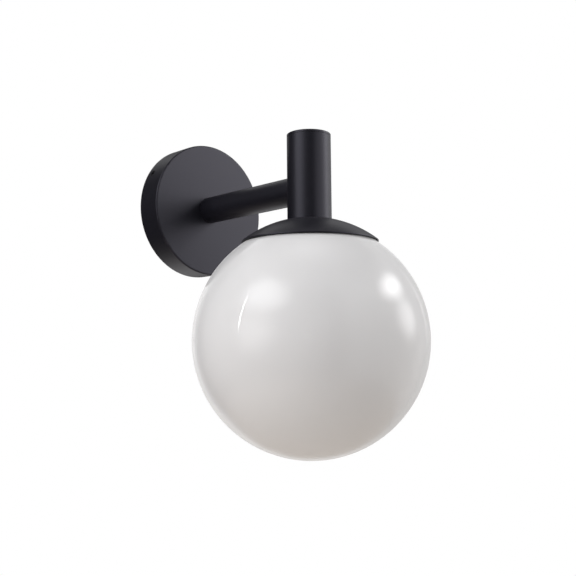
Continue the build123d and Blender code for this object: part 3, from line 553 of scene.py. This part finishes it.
def threaded_tube(node, low, high, place):
    """A hollow metric threaded tube, 10 mm across with a 1 mm pitch, closed along its bore."""
    end, bore = 4.5, 3.6                    # radii: of the thread's run-out and of the bore
    rows_per_pitch = 12
    piece = threaded_sleeve(node, crest=5.0, depth=0.6, pitch=1.0,
                            thread=(low, high), sleeve=(low, high),
                            Fade=0.4 * MM, Rows=int((high - low) * rows_per_pitch))
    run_on(piece, True, [(end, high), (bore, high), (bore, low), (end, low)], close=True)
    piece.data.transform(place)
    return dress(piece, node)


lamp_wire_bends = [9.0, 8.0, 8.0, 9.5, 5.4]
laid_wire("wire_live", lamp_wire_route(1.2, 10.0, 7.0), lamp_wire_bends)
laid_wire("wire_neutral", lamp_wire_route(-1.2, 0.0, -12.0), lamp_wire_bends)
laid_wire("wire_earth", [(-10.0, STRIP_OUT, -28.5), (-10.0, STRIP_OUT, -18.5),
                         (-24.0, -3.9, -9.0), (-24.0, -3.9, 5.0)], [9.0, 9.0])

lamp_screw = {"depth": 1.07, "pitch": 3.629}    # the lampholder's shell and the bulb's cap share it
shell = threaded_sleeve("holder_shell", crest=13.25, **lamp_screw,
                        thread=(-80.5, -62.0), sleeve=(-83.9, -61.0), Rows=150)
run_on(shell, True, [(13.4, -60.4), (13.8, -60.3), (16.5, -60.3)])
run_on(shell, False, [(13.5, -84.25)])
rolled_sheet(shell, "holder_shell", wall=0.5, outward=True)
cap = threaded_sleeve("bulb_screw_cap", crest=13.2, **lamp_screw,
                      thread=(-80.5, -66.0), sleeve=(-89.55, -67.75),
                      Neck=9.7 * MM, Cone=1.5, Rows=170)
run_on(cap, False, [])                      # adds nothing, but turns the faces outwards
rolled_sheet(cap, "bulb_screw_cap", wall=0.55, outward=False)
along_arm = Matrix.Rotation(math.radians(90.0), 4, "X")
threaded_tube("dome_nipple", low=-42.3, high=-17.6, place=ON_LAMP_AXIS)
threaded_tube("arm_nipple", low=17.0, high=36.0, place=along_arm)

dress(blown_globe(), "glass_globe")
dress(seated_gasket(), "globe_gasket")
dress(pressed_in_cap(), "stem_cap")

# The width of each other piece's broken edges, in millimetres: 0 leaves its edges as they are.
fine_edges = {
    "wall_plate": 0.25, "arm_tube": 0.0, "stem_tube": 0.3, "dome_cap": 0.1, "plate_screws": 0.35,
    "wall_bracket": 0.25, "supply_grommet": 0.2, "terminal_body": 0.25, "terminal_inserts": 0.12,
    "terminal_screws": 0.1, "terminal_fixings": 0.1, "earth_screw": 0.0, "earth_terminal": 0.1,
    "arm_root_plug": 0.2, "arm_washer": 0.1, "arm_nut": 0.15, "stem_bush": 0.3, "dome_nut": 0.15,
    "gallery_plate": 0.15, "gallery_springs": 0.12, "gallery_rivets": 0.1, "holder_cap": 0.3,
    "holder_body": 0.0, "holder_insert": 0.3, "holder_contact": 0.1, "holder_terminals": 0.25,
    "holder_screws": 0.1, "bulb_contact": 0.1, "bulb_insulator": 0.15, "bulb_housing": 0.2,
    "bulb_diffuser": 0.0, "bulb_board": 0.1, "bulb_leds": 0.1}
for node, edge in fine_edges.items():
    finished_copy(node, edge * MM)


# ---------------------------------------------------------------- floor, light and camera
def pale_floor():
    """A pale floor well under the lamp, which thins out to nothing at its edge."""
    height, radius = -0.9, 1.4
    gone = 1.9                              # the square of the distance at which nothing is left
    work = bmesh.new()
    bmesh.ops.create_circle(work, cap_ends=True, radius=radius, segments=128,
                            matrix=Matrix.Translation((0.0, LAMP_Y, height)))
    mesh = bpy.data.meshes.new("floor")
    work.to_mesh(mesh)
    work.free()
    floor = new_piece("floor", mesh)
    paint = Finish("floor_paint", Roughness=0.8)
    paint.colour((0.78, 0.70, 0.62), (0.80, 0.72, 0.64), paint.grain(6.0))
    across, deep = paint.axis("X"), paint.axis("Y") - LAMP_Y
    far = (across * across + deep * deep) / gone
    paint.thin_out((far * far).under(1.0))
    mesh.materials.append(paint.material)


def smooth_step(value, start, end):
    """A smooth step from 0 at the start to 1 at the end."""
    share = min(1.0, max(0.0, (value - start) / (end - start)))
    return share * share * (3.0 - 2.0 * share)


def reflected_shade_at(bearing, height):
    """How much painted shade the reflections show at a bearing and a height over level, in degrees,
    from 0 to 1.
    """
    camera_side = smooth_step(bearing, -178, -158) * (1 - smooth_step(bearing, -8, 18))
    camera_side *= 1 - smooth_step(height, 40, 62)
    right_side = smooth_step(bearing, 52, 70) * (1 - smooth_step(bearing, 86, 104)) * 0.3
    above = smooth_step(height, 36, 56) * (1 - smooth_step(height, 70, 86)) * 0.75
    return max(camera_side, right_side, above)


def reflected_shade_sheet():
    """A dark sheet round parts of the studio, thinning out at its edges, that only mirrors and glass
    see: painted shade in their reflections, hidden from the camera, from diffuse light and from
    shadows.
    """
    distance = 2.3
    work = bmesh.new()
    bmesh.ops.create_uvsphere(work, u_segments=96, v_segments=48, radius=distance)
    mesh = bpy.data.meshes.new("reflected_shade_sheet")
    work.to_mesh(mesh)
    work.free()
    thin = mesh.attributes.new("thin", "FLOAT", "POINT")
    for vert in mesh.vertices:
        bearing = math.degrees(math.atan2(vert.co.x, vert.co.y))
        height = math.degrees(math.asin(max(-1.0, min(1.0, vert.co.z / distance))))
        thin.data[vert.index].value = 1.0 - reflected_shade_at(bearing, height)
    mesh.transform(Matrix.Translation((0.0, LAMP_Y, GLOBE_Z)))
    shade_sheet = new_piece("reflected_shade_sheet", mesh)
    shade_paint = Finish("painted_reflected_shade", Roughness=0.9, Specular_IOR_Level=0.1)
    shade_paint.colour((0.05, 0.05, 0.055), (0.07, 0.07, 0.075), shade_paint.grain(3.0))
    shade_paint.thin_out(shade_paint.out("ShaderNodeAttribute", {"attribute_name": "thin"}, output="Fac"))
    mesh.materials.append(shade_paint.material)
    # Seen only in reflections and through glass: the sheet paints shade into them and blocks no
    # light.
    shade_sheet.visible_camera = shade_sheet.visible_diffuse = shade_sheet.visible_shadow = False


def soft_lamp(name, bearing, height, distance, wide, tall, strength,
              colour=(1.0, 1.0, 1.0), edge=1.0):
    """A lamp seen from the globe at this bearing from the wall's side and this height over level,
    in degrees. Its face dims to nothing over this outer share of its radius."""
    side, rise = math.radians(bearing), math.radians(height)
    way = Vector((math.sin(side) * math.cos(rise), math.cos(side) * math.cos(rise), math.sin(rise)))
    data = bpy.data.lights.new(name, "AREA")
    data.shape = "ELLIPSE"
    data.size, data.size_y = wide, tall
    data.energy = strength * wide * tall * math.pi / 4 * math.pi    # a face of this strength
    data.color = colour
    data.use_nodes = True
    face = Nodes(data.node_tree)
    where = face.out("ShaderNodeNewGeometry", output="Parametric")
    centred = face.out("ShaderNodeVectorMath", {"operation": "SUBTRACT"}, {
        0: where, 1: (0.5, 0.5, 0.0)})
    out = face.out("ShaderNodeVectorMath", {"operation": "LENGTH"}, {0: centred}, output="Value")
    glow = face.out("ShaderNodeMapRange", {"interpolation_type": "SMOOTHSTEP"}, {
        "Value": out, "From Min": 0.5, "From Max": 0.5 - 0.5 * edge, "To Min": 0.0, "To Max": 1.0})
    light = face.out("ShaderNodeEmission", None, {"Strength": glow})
    face.add("ShaderNodeOutputLight", None, {0: light})
    lamp = bpy.data.objects.new(name, data)
    scene.collection.objects.link(lamp)
    lamp.location = Vector((0.0, LAMP_Y, GLOBE_Z)) + way * distance
    lamp.rotation_euler = way.to_track_quat("Z", "Y").to_euler()
    lamp.visible_camera = False


def studio():
    """Soft lamps left and right, two thin strips and a dot, in a room that is white for the camera,
    mirrors and glass and dimmer for all else."""
    # name, bearing, height, distance, wide, tall, strength
    soft_lamp("left_softbox", -86.0, 37.0, 1.5, 1.70, 1.12, 4.0, (0.97, 0.985, 1.0), edge=0.8)
    soft_lamp("left_fill", -84.0, 6.0, 1.5, 1.70, 1.30, 2.1)
    soft_lamp("left_strip", -66.0, 20.0, 1.5, 0.035, 0.85, 20.0, edge=0.5)
    soft_lamp("right_lamp", 127.0, 33.0, 1.5, 1.25, 0.60, 7.2)
    soft_lamp("right_panel", 124.0, 13.0, 1.5, 1.04, 0.92, 2.8, edge=0.85)
    soft_lamp("right_strip", 86.0, 14.0, 1.5, 0.05, 0.95, 1.6, edge=0.5)
    soft_lamp("front_dot", -131.9, 4.6, 0.9, 0.022, 0.022, 150.0, edge=0.3)
    # A dark sheet seen only in reflections, which paints shade into them.
    reflected_shade_sheet()
    scene.world = bpy.data.worlds.new("studio")
    scene.world.use_nodes = True
    scene.world.cycles.sampling_method = "NONE"
    room = Nodes(scene.world.node_tree)
    rays = room.add("ShaderNodeLightPath").outputs
    seen, mirrored, through = (Signal(room, rays[kind]) for kind in (
        "Is Camera Ray", "Is Glossy Ray", "Is Transmission Ray"))
    way = room.out("ShaderNodeTexCoord", output="Generated")
    across, upward = (
        room.out("ShaderNodeSeparateXYZ", None, {0: way}, output=axis) for axis in "XZ")
    dim = room.out("ShaderNodeBackground", None, {
        "Color": (0.98, 0.99, 1.0, 1.0), "Strength": 0.42 + 0.14 * upward - 0.08 * across})
    white = room.out("ShaderNodeBackground", None, {
        "Color": (1.0, 1.0, 1.0, 1.0), "Strength": 1.0})
    both = room.out("ShaderNodeMixShader", None, {
        0: seen.over(mirrored).over(through), 1: dim, 2: white})
    room.add("ShaderNodeOutputWorld", None, {0: both})


def photo_camera():
    """The camera at the photograph's place: left of the lamp and a little below it, looking up."""
    place = (-0.50349, -0.66387, -0.15168)
    yaw, pitch, roll = (math.radians(angle) for angle in (43.563, 5.298, -0.495))
    focal_pixels, frame_pixels, sensor = 840.8, 576.0, 36.0
    data = bpy.data.cameras.new("camera")
    camera = bpy.data.objects.new("camera", data)
    scene.collection.objects.link(camera)
    ahead = Vector((math.sin(yaw) * math.cos(pitch), math.cos(yaw) * math.cos(pitch),
                    math.sin(pitch)))
    level = Vector((math.cos(yaw), -math.sin(yaw), 0.0))
    upright = level.cross(ahead)
    right = level * math.cos(roll) + upright * math.sin(roll)
    up = upright * math.cos(roll) - level * math.sin(roll)
    turn = Matrix((right, up, -ahead)).transposed()
    camera.matrix_world = Matrix.Translation(place) @ turn.to_4x4()
    data.sensor_width = sensor
    data.lens = sensor * focal_pixels / frame_pixels
    data.clip_start = 0.01
    scene.camera = camera


pale_floor()
studio()
photo_camera()
scene.view_settings.view_transform = "Standard"
